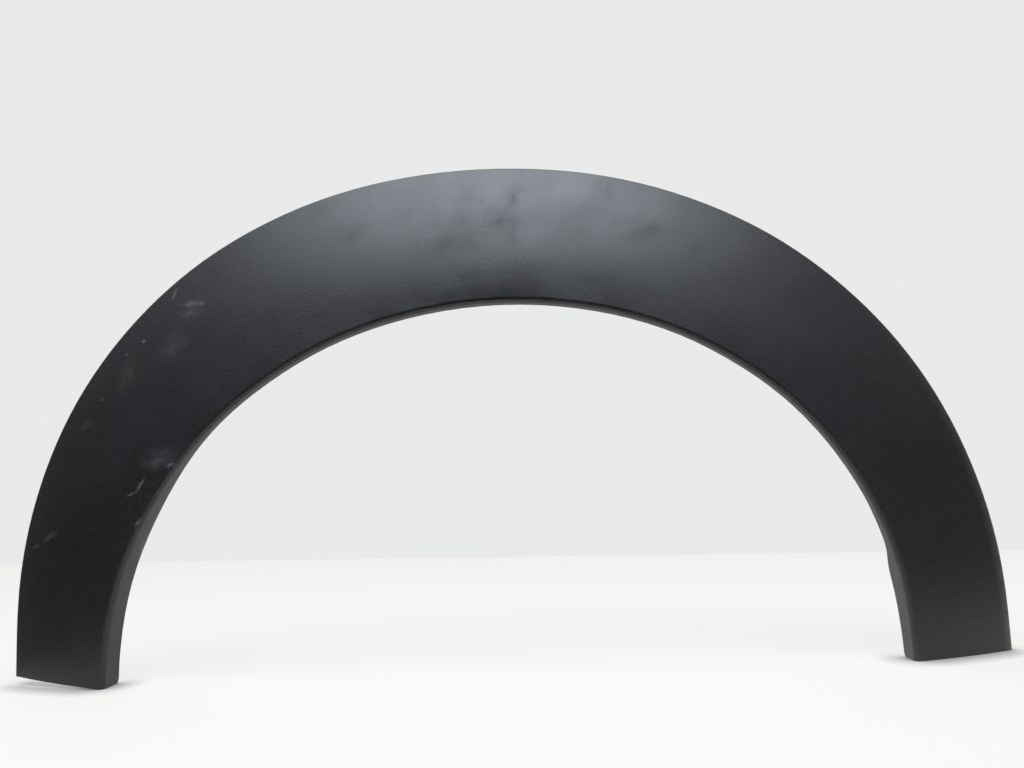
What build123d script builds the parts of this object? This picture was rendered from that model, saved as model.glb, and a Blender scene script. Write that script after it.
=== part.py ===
from build123d import *
import os
from math import atan2, copysign, cos, degrees, radians, sin, sqrt

# Wheel arch trim: one moulded piece that clips to the side of a car around its wheel opening.
# Millimetres. X runs along the car, Z is up and Y points into the body, so the face looks to -Y.
# The origin is the seat of the crown pin, on the plane where the fixings meet the body.

# Outer edge, seen from the side of the car
outer_half_width = 440.0
outer_rise = 421.0
outer_spring = 34.0  # height of the straight leg below the curve
outer_fullness = 0.95  # 1 is an ellipse, less is squarer
outer_lean = -7.0  # how far the crown sits from the middle
outer_foot_right = 0.0  # height of the outer corner above the foot's inner corner
outer_foot_left = 7.5

# Inner edge, around the wheel
inner_half_width = 343.0
inner_rise = 311.0
inner_spring = 9.0
inner_fullness = 0.98
inner_lean = 7.0

# Section through the band
wall = 2.5
crest_depth = 42.0  # from the front of the roll back to the body
flare_foot = 40.0  # from the front of the roll back to the outer flange's end
flare_crown = 44.0
face_radius = 450.0
roll_inner_radius = 2.0
flange_depth = 4.0
lip_depth = 14.0  # over the crown
lip_foot_right = 23.0
lip_foot_left = 28.5
lip_corner_radius = 5.0  # where the lip's back edge meets the foot

# Course of the lip's back edge: depths and heights above the feet. It steps up on the right and slopes
# up on the left, to the depth that it has over the crown.
lip_step_right = ((27.5, 68.0), (18.5, 92.0), (15.8, 112.0))
lip_step_top = 150.0
lip_slope_left = ((28.5, 100.0), (24.3, 165.0))
lip_slope_top = 235.0

# Clip towers behind the face
clip_pitch = 22.0  # degrees
clips_per_side = 3
clip_hole_radius = 4.25
clip_neck = 5.5
clip_plate = 2.5
tower_length = 24.0
tower_depth = 18.0
tower_wall = 2.0

# Locating pins at the crown and on the legs
pin_radius = 3.0
pin_length = 10.0
pin_tip = 1.0
pin_leg_angle = 8.0
boss_radius = 7.0
boss_plate = 2.5
boss_rib = 2.0

# Stations of the lofted band, in degrees from the right foot to the left; the first and last are the feet
STATIONS = [-1, *range(0, 181, 12), 181]

roll_radius = roll_inner_radius + wall
edge_radius = wall  # the inside of the outer edge is a sharp corner
crown_outer = outer_spring + outer_rise
crown_inner = inner_spring + inner_rise
feet_z = -(crown_outer + crown_inner) / 2
room_depth = crest_depth + 2 * pin_length
lip_blank_depth = lip_slope_left[0][0] + wall  # the lip is lofted this deep, then trimmed


def arch(angle, half_width, rise, spring, fullness, lean):
    """Point of an arch edge: a superellipse that stands on straight legs."""
    across, up = cos(radians(angle)), sin(radians(angle))
    x = copysign(half_width * abs(across) ** fullness, across) + lean * up
    return Vector(x, 0, feet_z + spring + rise * up**fullness)


def inner_edge(angle):
    if not 0 <= angle <= 180:
        return Vector(copysign(inner_half_width, 90 - angle), 0, feet_z)
    return arch(angle, inner_half_width, inner_rise, inner_spring, inner_fullness, inner_lean)


def outer_edge(angle):
    if angle < 0:
        return Vector(outer_half_width, 0, feet_z + outer_foot_right)
    if angle > 180:
        return Vector(-outer_half_width, 0, feet_z + outer_foot_left)
    return arch(angle, outer_half_width, outer_rise, outer_spring, outer_fullness, outer_lean)


def flare_at(angle):
    return flare_foot + (flare_crown - flare_foot) * max(sin(radians(angle)), 0.0) ** 2


def outward(angle):
    """Direction across the band, from its inner to its outer edge."""
    return (outer_edge(angle) - inner_edge(angle)).normalized()


def bearing(direction):
    return degrees(atan2(direction.Y, direction.X))


def section_plane(angle):
    """Plane across the band: X outward from the inner edge, Y into the body from the roll's front."""
    start = inner_edge(angle) - Vector(0, crest_depth, 0)
    return Plane(start, x_dir=outward(angle), z_dir=outward(angle).cross(Vector(0, 1, 0)))


def fixing_plane(angle):
    """Plane of a fixing in the middle of the band: X outward, Z into the body."""
    middle = (inner_edge(angle) + outer_edge(angle)) / 2
    return Plane(middle, x_dir=outward(angle), z_dir=(0, 1, 0))


def strips(count, centre, radius, first, last):
    """Arc about a centre between two bearings, in equal strips."""
    sweep = (last - first) / count
    return [CenterArc(centre, radius, first + strip * sweep, sweep) for strip in range(count)]


def skin(angle, depth, flange_end, lip_end):
    """Contour at a depth under the face, from the end of the flange to the end of the lip.

    The face is one arc, tangent to the edge radius at its outer end and to the roll at its inner end.
    """
    width = (outer_edge(angle) - inner_edge(angle)).length
    edge_centre = Vector(width - edge_radius, flare_at(angle) - flange_depth)
    roll_centre = Vector(roll_radius, roll_radius)
    span = edge_centre - roll_centre
    to_roll, to_edge = face_radius - roll_radius, face_radius - edge_radius
    along = (to_roll**2 - to_edge**2 + span.length**2) / (2 * span.length)
    behind = Vector(-span.Y, span.X) / span.length
    face_centre = roll_centre + span / span.length * along + behind * sqrt(to_roll**2 - along**2)
    face_start = bearing(edge_centre - face_centre)
    face_end = bearing(roll_centre - face_centre)
    contour = [Line((width - depth, flange_end), (width - depth, edge_centre.Y))]
    if depth < edge_radius:
        contour += strips(2, edge_centre, edge_radius - depth, 0, face_start)
    contour += strips(1, face_centre, face_radius - depth, face_start, face_end)
    contour += strips(3, roll_centre, roll_radius - depth, face_end, -180)
    contour.append(Line((depth, roll_radius), (depth, lip_end)))
    return contour


def section(angle, outline):
    """Face across the band, from edges drawn in the section plane."""
    return section_plane(angle).location * make_face(outline)


# Sections of the moulding, and of the room behind the middle of its wall. They are drawn outside the blocks
# below, which would join each arc's strips into one.
wall_sections = []
room_sections = []
for angle in STATIONS:
    front = skin(angle, 0, flare_at(angle), lip_blank_depth)
    back = skin(angle, wall, flare_at(angle), lip_blank_depth)
    ends = [Line(front[0] @ 0, back[0] @ 0), Line(front[-1] @ 1, back[-1] @ 1)]
    wall_sections.append(section(angle, [*front, *back, *ends]))
    middle = skin(angle, wall / 2, room_depth, room_depth)
    room_sections.append(section(angle, [*middle, Line(middle[0] @ 0, middle[-1] @ 1)]))

# The room behind the face, which trims the fixings
with BuildPart() as room:
    loft(room_sections)

# Clip towers and locating pins, standing on the inside of the face
with BuildPart() as fixings:
    for step in range(1, clips_per_side + 1):
        for angle in (90 - step * clip_pitch, 90 + step * clip_pitch):
            seat = fixing_plane(angle)
            with BuildSketch(seat):
                Rectangle(tower_depth, tower_length)
            extrude(amount=-crest_depth)
            with BuildSketch(seat.offset(-clip_plate)):
                with Locations((tower_wall, 0)):
                    Rectangle(tower_depth, tower_length - 2 * tower_wall)
            extrude(amount=-crest_depth, mode=Mode.SUBTRACT)
            with BuildSketch(seat):
                Circle(clip_hole_radius)
                with Locations((tower_depth / 2, 0)):
                    Rectangle(tower_depth, clip_neck)
            extrude(amount=-clip_plate, mode=Mode.SUBTRACT)
    for angle in (pin_leg_angle, 90, 180 - pin_leg_angle):
        seat = fixing_plane(angle)
        with BuildSketch(seat):
            Rectangle(2 * boss_radius, boss_rib)
            Rectangle(boss_rib, 2 * boss_radius)
        extrude(amount=-crest_depth)
        with BuildSketch(seat):
            Circle(boss_radius)
        extrude(amount=-boss_plate)
        with BuildSketch(seat):
            Circle(pin_radius)
        extrude(amount=pin_length)
        chamfer(edges(Select.LAST).filter_by(GeomType.CIRCLE).sort_by(Axis.Y)[-1], length=pin_tip)
    add(room.part, mode=Mode.INTERSECT)

# What is trimmed off behind the lip
with BuildPart() as lip_waste:
    lip_plane = Plane((0, -crest_depth, feet_z), x_dir=(0, 1, 0), z_dir=(1, 0, 0))
    right_course = (lip_foot_right, lip_step_right, lip_step_top, outer_half_width)
    left_course = (lip_foot_left, lip_slope_left, lip_slope_top, -outer_half_width)
    for foot_depth, rise, top, reach in (right_course, left_course):
        with BuildSketch(lip_plane):
            with BuildLine():
                foot = (foot_depth - lip_corner_radius, 0)
                corner = RadiusArc(foot, (foot_depth, lip_corner_radius), -lip_corner_radius)
                Line(corner @ 1, rise[0])
                Spline(*rise, (lip_depth, top), tangents=((0, 1), (0, 1)))
                behind_crown = (room_depth, crown_outer)
                Polyline((lip_depth, top), (lip_depth, crown_outer), behind_crown, (room_depth, 0), foot)
            make_face()
        extrude(amount=reach)
    rim_points = [inner_edge(angle) + outward(angle) * 2 * wall for angle in range(0, 181, 15)]
    with BuildSketch(Plane.XZ):
        with BuildLine():
            rim = Spline([(point.X, point.Z) for point in rim_points])
            Polyline(rim @ 0, ((rim @ 0).X, feet_z), ((rim @ 1).X, feet_z), rim @ 1)
        make_face()
    extrude(amount=room_depth, both=True, mode=Mode.INTERSECT)

# The moulding: a thin section lofted round the arch, with its fixings
with BuildPart() as wheel_arch_trim:
    loft(wall_sections)
    add(lip_waste.part, mode=Mode.SUBTRACT)
    add(fixings.part)

os.makedirs("parts", exist_ok=True)
wheel_arch_trim.part.label = "wheel_arch_trim"
export_step(wheel_arch_trim.part, "parts/wheel_arch_trim.step")
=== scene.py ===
from math import radians

import bpy
from mathutils import Euler, Matrix, Vector


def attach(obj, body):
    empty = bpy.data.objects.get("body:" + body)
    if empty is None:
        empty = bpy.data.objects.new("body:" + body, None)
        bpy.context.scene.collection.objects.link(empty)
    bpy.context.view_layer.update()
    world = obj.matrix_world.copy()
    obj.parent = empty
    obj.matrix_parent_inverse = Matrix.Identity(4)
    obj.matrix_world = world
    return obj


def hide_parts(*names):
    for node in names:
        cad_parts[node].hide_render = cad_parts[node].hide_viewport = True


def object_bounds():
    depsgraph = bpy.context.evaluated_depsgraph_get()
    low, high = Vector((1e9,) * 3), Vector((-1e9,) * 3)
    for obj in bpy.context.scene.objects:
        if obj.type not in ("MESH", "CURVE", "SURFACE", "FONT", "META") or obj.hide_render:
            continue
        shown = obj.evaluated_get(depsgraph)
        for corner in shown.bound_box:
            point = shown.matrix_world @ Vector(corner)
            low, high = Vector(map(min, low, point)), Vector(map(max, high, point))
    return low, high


# Wheel arch trim: one moulding of black polypropylene, standing on its feet on a pale floor.
# Metres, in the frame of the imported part: X runs along the car, Z is up and the face looks to -Y.

MM = 0.001

# Camera; its focal length in pixels belongs to an image of this width
IMAGE_WIDTH = 1024
FOCAL_PIXELS = 920
SENSOR_WIDTH = 36
CAMERA_PLACE = Vector((41.6, -839.1, -224.1)) * MM
CAMERA_PITCH = radians(6.0)
CAMERA_YAW = radians(-1.77)
CAMERA_ROLL = radians(-2.36)

# Floor: corners in millimetres, near left, near right, far left, far right. Its far edge meets the backdrop,
# which is the world. The part that lights the trim ends close in front of it, so that its legs stay dark.
# Around that part the floor is only seen, and lies a hair lower.
FLOOR = ((-310, -330), (480, -350), (-1460, 1598), (1250, 789))
FLOOR_AROUND = ((-6000, -6000), (6000, -6000), (-6000, 2953), (6000, -629))
FLOOR_STEP = 0.01 * MM

# Paint of the floor, and the shade where the feet stand
FLOOR_PAINT = "#d3d0cb"
FLOOR_ROUGHNESS = 0.8
FLOOR_SEEN = "#fdfcfa"
FLOOR_SEEN_SHARE = 0.75  # how much of what the camera sees is for the camera alone
CONTACT_REACH = 30 * MM
CONTACT_CONTRAST = 2.0
CONTACT_RAYS = 16

# Lamp over the crown, wide and soft
LAMP_PLACE = Vector((-15, -560, 1180)) * MM
LAMP_TARGET = Vector((0, 0, 20)) * MM
LAMP_WIDTH = 1650 * MM
LAMP_LENGTH = 1150 * MM
LAMP_WATTS = 32
LAMP_COLOUR = "#ebf5ff"

# Light of the room by its direction: axis, start and end of a range along it, and the levels there.
# The far side only lights from behind, and less from low down.
ROOM = {
    "above": ("Z", 0.1, 0.8, 0.05, 0.3),
    "right": ("X", 0.0, 0.8, 0.0, 0.05),
    "far_side": ("X", -0.3, -0.05, 1.7, 0.42),
    "behind": ("Y", 0.0, 0.5, 0.0, 1.0),
    "low": ("Z", -0.3, -0.05, 0.2, 1.0),
}
ROOM_COLOUR = "#ffffff"
BACKDROP = "#e9eaea"

# Shading of the moulding
MERGE_DISTANCE = 0.005 * MM
SHARP_ANGLE = radians(28)
LARGE_FACES_LEAD = 100

# Plastic, and how far marks change its roughness
BLACK = "#161618"
BLACK_PALER = "#1d1c1f"
PLASTIC_IOR = 1.6
ROUGHNESS = 0.46
SMUDGE_DULLS = 0.12
RUBBING_DULLS = -0.12
SCUFF_DULLS = 0.3
FACING = {"From Min": 0.0, "From Max": -0.3}  # lean of the normal to the front, from none to the face's

# Grain of the moulded face, drawn about three times as coarse as it is, so that it shows
GRAIN = 1.8 * MM
GRAIN_DEPTH = 0.15 * MM
GRAIN_STRENGTH = 0.4
# The colour is multiplied by this: painted shade in the grain's pits, painted light on its ridges
GRAIN_PAINTED_SHADE = {"From Min": 0.1, "From Max": 0.6, "To Min": 0.4, "To Max": 1.6}  # dark pits, paler ridges

# Patches in the plastic's tone and sheen
CLOUD = 60 * MM
CLOUD_DETAIL = 5
CLOUD_DULLS = {"From Min": 0.3, "From Max": 0.7, "To Min": -0.03, "To Max": 0.05}

# Blotches in the dust
BLOTCH = 9 * MM
BLOTCH_DETAIL = 4
BLOTCH_THINS = {"From Min": 0.3, "From Max": 0.7, "To Min": 0.7, "To Max": 1.3}

# Dust at the feet: from its top down, and from the left, where it is thin, to the right
FEET_DUST = "#3a2f25"
FEET_DUST_DOWN = {"From Min": -300 * MM, "From Max": -390 * MM}
FEET_DUST_ACROSS = {"From Min": -400 * MM, "From Max": 400 * MM, "To Min": 0.25}

# Pale dust along the outer edge of the right leg, which also paints the highlight that its rounding catches,
# and the course of that edge, as in the solid
EDGE_DUST_AND_HIGHLIGHT = "#8f8271"
EDGE_DUST_AND_HIGHLIGHT_WIDTH = 12 * MM
EDGE_DUST_AND_HIGHLIGHT_DOWN = {"From Min": -60 * MM, "From Max": -390 * MM, "To Max": 0.55}
EDGE_HALF_WIDTH = 440 * MM
EDGE_SPRING = -353.5 * MM
EDGE_RISE = 421 * MM
EDGE_LEAN = -7 * MM
EDGE_POWER = 2 / 0.95

# Streaks in the marks on the face
STREAKS = 1.6  # waves in half the length of a mark
STREAK_DETAIL = 4
STREAK_CONTRAST = {"From Min": 0.35, "From Max": 0.65}
MARK_GAIN = 2.0  # the streaks take about half of a mark's strength

# Marks on the face: x, z, length and width in millimetres, turn in degrees, strength
SCUFF = "#a8a8a8"
SCUFFS = (
    (-275, -50, 24, 8, 0, 0.15),
    (-264, -51, 10, 6, -12, 0.14),
    (-275, -58, 28, 20, 0, 0.06),
    (-294, -39, 14, 4, 70, 0.18),
    (-320, -83, 6, 4.5, 0, 0.26),
    (-337, -94, 5, 4, 0, 0.18),
    (-289, -88, 40, 34, 20, 0.05),
    (-358, -135, 4.5, 4, 0, 0.16),
    (-372, -157, 22, 12, 10, 0.05),
    (-296, -192, 44, 26, 4, 0.08),
    (-285, -198, 12, 5, 8, 0.22),
    (-321, -222, 12, 3, 18, 0.24),
    (-313, -215, 17, 3.6, 55, 0.32),
    (-314, -247, 12, 3.6, 50, 0.25),
    (-404, -257, 24, 7, 24, 0.12),
    (-419, -265, 11, 4, 24, 0.14),
)
STAIN = "#5a5444"
STAINS = (
    (-332, -112, 34, 18, 86, 0.16),
    (-338, -121, 32, 10, 82, 0.16),
)
SMUDGES = (
    (-124, 7, 40, 30, 30, 0.4),
    (-16, 39, 44, 34, 0, 0.35),
    (23, 37, 44, 30, 60, 0.55),
    (13, 13, 44, 32, 0, 0.5),
    (22, -6, 50, 24, 85, 0.45),
    (110, 39, 46, 30, 75, 0.4),
    (112, 8, 36, 28, 60, 0.4),
    (146, -5, 38, 22, 10, 0.7),
    (134, -3, 60, 44, 20, 0.4),
    (184, -24, 32, 24, 60, 0.4),
    (-70, 30, 70, 56, 10, 0.3),
    (-37, -5, 84, 74, 0, 0.7),
    (60, -10, 70, 56, -15, 0.3),
    (148, -4, 26, 11, -5, 0.35),
    (24, 36, 34, 14, 65, 0.16),
    (14, 12, 28, 14, 35, 0.14),
    (-124, 5, 26, 10, 35, 0.4),
    (22, -6, 36, 10, 88, 0.35),
    (184, -26, 30, 10, 70, 0.35),
)
RUBBED = (
    (45, 0, 260, 190, 0, 0.5),
    (5, -52, 380, 90, 0, 0.8),
)


def linear(colour):
    """Turn an sRGB hex colour into linear RGBA."""
    channels = [int(colour[i : i + 2], 16) / 255 for i in (1, 3, 5)]
    return [c / 12.92 if c <= 0.04045 else ((c + 0.055) / 1.055) ** 2.4 for c in channels] + [1.0]


def node(tree, kind, inputs=None, **settings):
    """Add a shader node with its settings, and set or link its inputs."""
    added = tree.nodes.new("ShaderNode" + kind)
    for name, value in settings.items():
        setattr(added, name, value)
    for name, value in (inputs or {}).items():
        if isinstance(value, bpy.types.NodeSocket):
            tree.links.new(value, added.inputs[name])
        else:
            added.inputs[name].default_value = value
    return added


def new_tree(owner):
    owner.use_nodes = True
    owner.node_tree.nodes.clear()
    return owner.node_tree


def marks(tree, place, rows):
    """Mask of soft marks on the face, each an oval in the XZ plane that is streaked along its length."""
    total = 0.0
    for x, z, length, width, turn, strength in rows:
        oval = node(tree, "Mapping", {
            "Vector": place,
            "Location": (x * MM, 0, z * MM),
            "Rotation": (0, -radians(turn), 0),
            "Scale": (length / 2 * MM, 1, width / 2 * MM),
        }, vector_type="TEXTURE").outputs[0]
        fade = node(tree, "TexGradient", {"Vector": oval}, gradient_type="SPHERICAL").outputs["Fac"]
        waves = {"Vector": oval, "Scale": STREAKS, "Detail": STREAK_DETAIL}
        streaks = node(tree, "TexNoise", waves).outputs["Fac"]
        worn = node(tree, "MapRange", {"Value": streaks, **STREAK_CONTRAST}).outputs[0]
        mark = node(tree, "Math", {0: fade, 1: worn}, operation="MULTIPLY").outputs[0]
        joined = {0: mark, 1: MARK_GAIN * strength, 2: total}
        total = node(tree, "Math", joined, operation="MULTIPLY_ADD").outputs[0]
    return node(tree, "Clamp", {"Value": total}).outputs[0]


def dust_at_feet(tree, spot):
    """Mask of the dust at the feet, before it is made uneven."""
    feet = node(tree, "MapRange", {"Value": spot["Z"], **FEET_DUST_DOWN}).outputs[0]
    side = node(tree, "MapRange", {"Value": spot["X"], **FEET_DUST_ACROSS}).outputs[0]
    return node(tree, "Math", {0: feet, 1: side}, operation="MULTIPLY").outputs[0]


def dust_and_highlight_at_edge(tree, spot):
    """Mask of pale dust and painted highlight along the right leg's outer edge, densest at it, before it is
    made uneven.

    The edge is a superellipse that leans to one side and stands on a straight leg. The course is 1 on it.
    """
    height = {"Value": spot["Z"], "From Min": EDGE_SPRING, "From Max": EDGE_SPRING + EDGE_RISE}
    up = node(tree, "MapRange", height).outputs[0]
    upright = node(tree, "Math", {0: up, 1: -EDGE_LEAN, 2: spot["X"]}, operation="MULTIPLY_ADD").outputs[0]
    across = node(tree, "MapRange", {"Value": upright, "From Max": EDGE_HALF_WIDTH}).outputs[0]
    rise = node(tree, "Math", {0: up, 1: EDGE_POWER}, operation="POWER").outputs[0]
    reach = node(tree, "Math", {0: across, 1: EDGE_POWER}, operation="POWER").outputs[0]
    course = node(tree, "Math", {0: rise, 1: reach}, operation="ADD").outputs[0]
    start = 1 - EDGE_POWER * EDGE_DUST_AND_HIGHLIGHT_WIDTH / EDGE_HALF_WIDTH
    near = node(tree, "MapRange", {"Value": course, "From Min": start}).outputs[0]
    dense = node(tree, "Math", {0: near, 1: near}, operation="MULTIPLY").outputs[0]
    leg = node(tree, "MapRange", {"Value": spot["Z"], **EDGE_DUST_AND_HIGHLIGHT_DOWN}).outputs[0]
    return node(tree, "Math", {0: dense, 1: leg}, operation="MULTIPLY").outputs[0]


def moulded_black_polypropylene():
    """Polypropylene moulded in its black colour against an etched tool: dull, with a low grey sheen.

    The face is grained, with shade painted into the grain's pits and light painted onto its ridges, and it
    has been
    handled: pale scuffs, stains, smudges that dull the sheen, places rubbed shinier and dust at the feet.
    Pale dust along an edge also paints a highlight there. The lip and the back came off a plain tool, without
    grain.
    """
    material = bpy.data.materials.new("moulded_black_polypropylene")
    tree = new_tree(material)
    where = node(tree, "TexCoord")
    place = where.outputs["Object"]
    spot = node(tree, "SeparateXYZ", {0: place}).outputs
    normal = node(tree, "SeparateXYZ", {0: where.outputs["Normal"]}).outputs
    front = node(tree, "MapRange", {"Value": normal["Y"], **FACING}).outputs[0]

    # Pits of the grain, deepest in their middles, with ridges between them
    pits = {"Vector": place, "Scale": 1 / GRAIN}
    grain = node(tree, "TexVoronoi", pits, feature="SMOOTH_F1").outputs["Distance"]
    clouds = {"Vector": place, "Scale": 1 / CLOUD, "Detail": CLOUD_DETAIL}
    cloud = node(tree, "TexNoise", clouds).outputs["Fac"]
    blotches = {"Vector": place, "Scale": 1 / BLOTCH, "Detail": BLOTCH_DETAIL}
    blotch = node(tree, "TexNoise", blotches).outputs["Fac"]

    def on_front(mask):
        return node(tree, "Math", {0: mask, 1: front}, operation="MULTIPLY").outputs[0]

    scuffed = on_front(marks(tree, place, SCUFFS))
    stained = on_front(marks(tree, place, STAINS))
    smudged = on_front(marks(tree, place, SMUDGES))
    rubbed = on_front(marks(tree, place, RUBBED))
    settled = {0: dust_at_feet(tree, spot), 1: blotch}
    dusted = node(tree, "Math", settled, operation="MULTIPLY").outputs[0]
    uneven = node(tree, "MapRange", {"Value": blotch, **BLOTCH_THINS}).outputs[0]
    # Pale dust on the right leg's outer edge, with the highlight that its rounding catches painted in
    caught = {0: on_front(dust_and_highlight_at_edge(tree, spot)), 1: uneven}
    edge_dust_and_highlight = node(tree, "Math", caught, operation="MULTIPLY").outputs[0]

    # Colour: black in two tones, with shade painted into the grain's pits and light painted onto its ridges,
    # under dust, stains and scuffs, and pale dust on the right leg's outer edge that also paints a highlight
    # there
    shade = node(tree, "MapRange", {"Value": grain, **GRAIN_PAINTED_SHADE}).outputs[0]
    tones = {"Fac": cloud, "Color1": linear(BLACK), "Color2": linear(BLACK_PALER)}
    plastic = node(tree, "MixRGB", tones).outputs[0]
    grained = {"Fac": front, "Color1": plastic, "Color2": shade}
    colour = node(tree, "MixRGB", grained, blend_type="MULTIPLY").outputs[0]
    layers = ((dusted, FEET_DUST), (edge_dust_and_highlight, EDGE_DUST_AND_HIGHLIGHT), (stained, STAIN), (scuffed, SCUFF))
    for mask, over in layers:
        colour = node(tree, "MixRGB", {"Fac": mask, "Color1": colour, "Color2": linear(over)}).outputs[0]

    # Sheen: mottled where the tool was etched, and changed by handling
    mottled = node(tree, "MapRange", {"Value": cloud, **CLOUD_DULLS}).outputs[0]
    etched = {0: front, 1: mottled, 2: ROUGHNESS}
    roughness = node(tree, "Math", etched, operation="MULTIPLY_ADD").outputs[0]
    for mask, dulls in ((smudged, SMUDGE_DULLS), (rubbed, RUBBING_DULLS), (scuffed, SCUFF_DULLS)):
        handled = {0: mask, 1: dulls, 2: roughness}
        roughness = node(tree, "Math", handled, operation="MULTIPLY_ADD").outputs[0]

    relief = {"Height": on_front(grain), "Strength": GRAIN_STRENGTH, "Distance": GRAIN_DEPTH}
    shader = node(tree, "BsdfPrincipled", {
        "Base Color": colour,
        "Roughness": roughness,
        "IOR": PLASTIC_IOR,
        "Normal": node(tree, "Bump", relief).outputs[0],
    })
    node(tree, "OutputMaterial", {"Surface": shader.outputs[0]})
    return material


def white_floor_paint():
    """Matt white paint. Part of its white is for the camera alone, with a soft shade where the feet stand."""
    material = bpy.data.materials.new("white_floor_paint")
    tree = new_tree(material)
    matt = {"Base Color": linear(FLOOR_PAINT), "Roughness": FLOOR_ROUGHNESS}
    paint = node(tree, "BsdfPrincipled", matt)
    clear = node(tree, "AmbientOcclusion", {"Distance": CONTACT_REACH}, samples=CONTACT_RAYS).outputs["AO"]
    contact = node(tree, "Math", {0: clear, 1: CONTACT_CONTRAST}, operation="POWER").outputs[0]
    white = node(tree, "Emission", {"Color": linear(FLOOR_SEEN), "Strength": contact})
    seen = node(tree, "LightPath").outputs["Is Camera Ray"]
    share = node(tree, "Math", {0: seen, 1: FLOOR_SEEN_SHARE}, operation="MULTIPLY").outputs[0]
    both = node(tree, "MixShader", {0: share, 1: paint.outputs[0], 2: white.outputs[0]})
    node(tree, "OutputMaterial", {"Surface": both.outputs[0]})
    return material


def smooth_moulding(cad, finish):
    """Shade the moulding smoothly: a merged copy of its solid, in its place."""
    bpy.ops.object.select_all(action="DESELECT")
    cad.select_set(True)
    bpy.context.view_layer.objects.active = cad
    bpy.ops.object.duplicate()
    moulding = bpy.context.active_object
    moulding.name = "trim_moulding"
    bpy.ops.object.mode_set(mode="EDIT")
    bpy.ops.mesh.select_all(action="SELECT")
    bpy.ops.mesh.remove_doubles(threshold=MERGE_DISTANCE)
    bpy.ops.object.mode_set(mode="OBJECT")
    bpy.ops.object.shade_smooth_by_angle(angle=SHARP_ANGLE)
    bpy.ops.object.modifier_add(type="WEIGHTED_NORMAL")
    evened = moulding.modifiers[-1]
    evened.weight = LARGE_FACES_LEAD
    evened.keep_sharp = True
    bpy.ops.object.modifier_apply(modifier=evened.name)
    moulding.data.materials.clear()
    moulding.data.materials.append(finish)
    return moulding


def lay_floor(name, corners, height, paint):
    bpy.ops.object.select_all(action="DESELECT")
    bpy.ops.mesh.primitive_plane_add()
    floor = bpy.context.active_object
    floor.name = name
    for vertex, corner in zip(floor.data.vertices, corners):
        vertex.co = (corner[0] * MM, corner[1] * MM, height)
    floor.data.materials.append(paint)
    return floor


def hang_lamp():
    aim = (LAMP_TARGET - LAMP_PLACE).to_track_quat("-Z", "Y").to_euler()
    bpy.ops.object.light_add(type="AREA", location=LAMP_PLACE, rotation=aim)
    bpy.context.active_object.name = "crown_lamp"
    lamp = bpy.context.active_object.data
    lamp.shape = "ELLIPSE"
    lamp.size = LAMP_WIDTH
    lamp.size_y = LAMP_LENGTH
    lamp.energy = LAMP_WATTS
    lamp.color = linear(LAMP_COLOUR)[:3]


def light_world():
    """Pale backdrop for the camera. For the light, a dim room, brighter above and at the back on the left."""
    world = bpy.context.scene.world or bpy.data.worlds.new("studio")
    bpy.context.scene.world = world
    tree = new_tree(world)
    towards = node(tree, "SeparateXYZ", {0: node(tree, "TexCoord").outputs["Generated"]}).outputs
    light = {}
    for name, (axis, start, end, first, last) in ROOM.items():
        light[name] = node(tree, "MapRange", {
            "Value": towards[axis],
            "From Min": start,
            "From Max": end,
            "To Min": first,
            "To Max": last,
        }).outputs[0]
    back = node(tree, "Math", {0: light["behind"], 1: light["low"]}, operation="MULTIPLY").outputs[0]
    front = node(tree, "Math", {0: light["right"], 1: light["above"]}, operation="ADD").outputs[0]
    level = node(tree, "Math", {0: light["far_side"], 1: back, 2: front}, operation="MULTIPLY_ADD").outputs[0]
    room = node(tree, "Background", {"Color": linear(ROOM_COLOUR), "Strength": level})
    backdrop = node(tree, "Background", {"Color": linear(BACKDROP), "Strength": 1})
    seen = node(tree, "LightPath").outputs["Is Camera Ray"]
    both = node(tree, "MixShader", {0: seen, 1: room.outputs[0], 2: backdrop.outputs[0]})
    node(tree, "OutputWorld", {"Surface": both.outputs[0]})


def set_camera():
    aim = Euler((radians(90) + CAMERA_PITCH, 0, -CAMERA_YAW)).to_matrix()
    turn = aim @ Matrix.Rotation(CAMERA_ROLL, 3, "Z")
    bpy.ops.object.camera_add(location=CAMERA_PLACE, rotation=turn.to_euler())
    camera = bpy.context.active_object
    camera.data.sensor_width = SENSOR_WIDTH
    camera.data.lens = SENSOR_WIDTH * FOCAL_PIXELS / IMAGE_WIDTH
    bpy.context.scene.camera = camera


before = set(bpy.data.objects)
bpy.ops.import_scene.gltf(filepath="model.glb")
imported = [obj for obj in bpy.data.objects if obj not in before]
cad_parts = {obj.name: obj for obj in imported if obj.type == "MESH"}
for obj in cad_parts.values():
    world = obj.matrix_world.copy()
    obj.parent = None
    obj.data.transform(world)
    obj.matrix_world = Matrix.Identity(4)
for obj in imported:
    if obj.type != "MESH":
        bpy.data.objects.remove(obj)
cad_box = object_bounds()
bpy.context.scene.view_settings.view_transform = "Standard"

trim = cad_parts["wheel_arch_trim"]
moulding = smooth_moulding(trim, moulded_black_polypropylene())
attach(moulding, "root")
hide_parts("wheel_arch_trim")

floor_paint = white_floor_paint()
ground = cad_box[0][2]
lay_floor("floor", FLOOR, ground, floor_paint)
around = lay_floor("floor_around", FLOOR_AROUND, ground - FLOOR_STEP, floor_paint)
around.visible_diffuse = False
around.visible_glossy = False
around.visible_shadow = False
hang_lamp()
light_world()
set_camera()
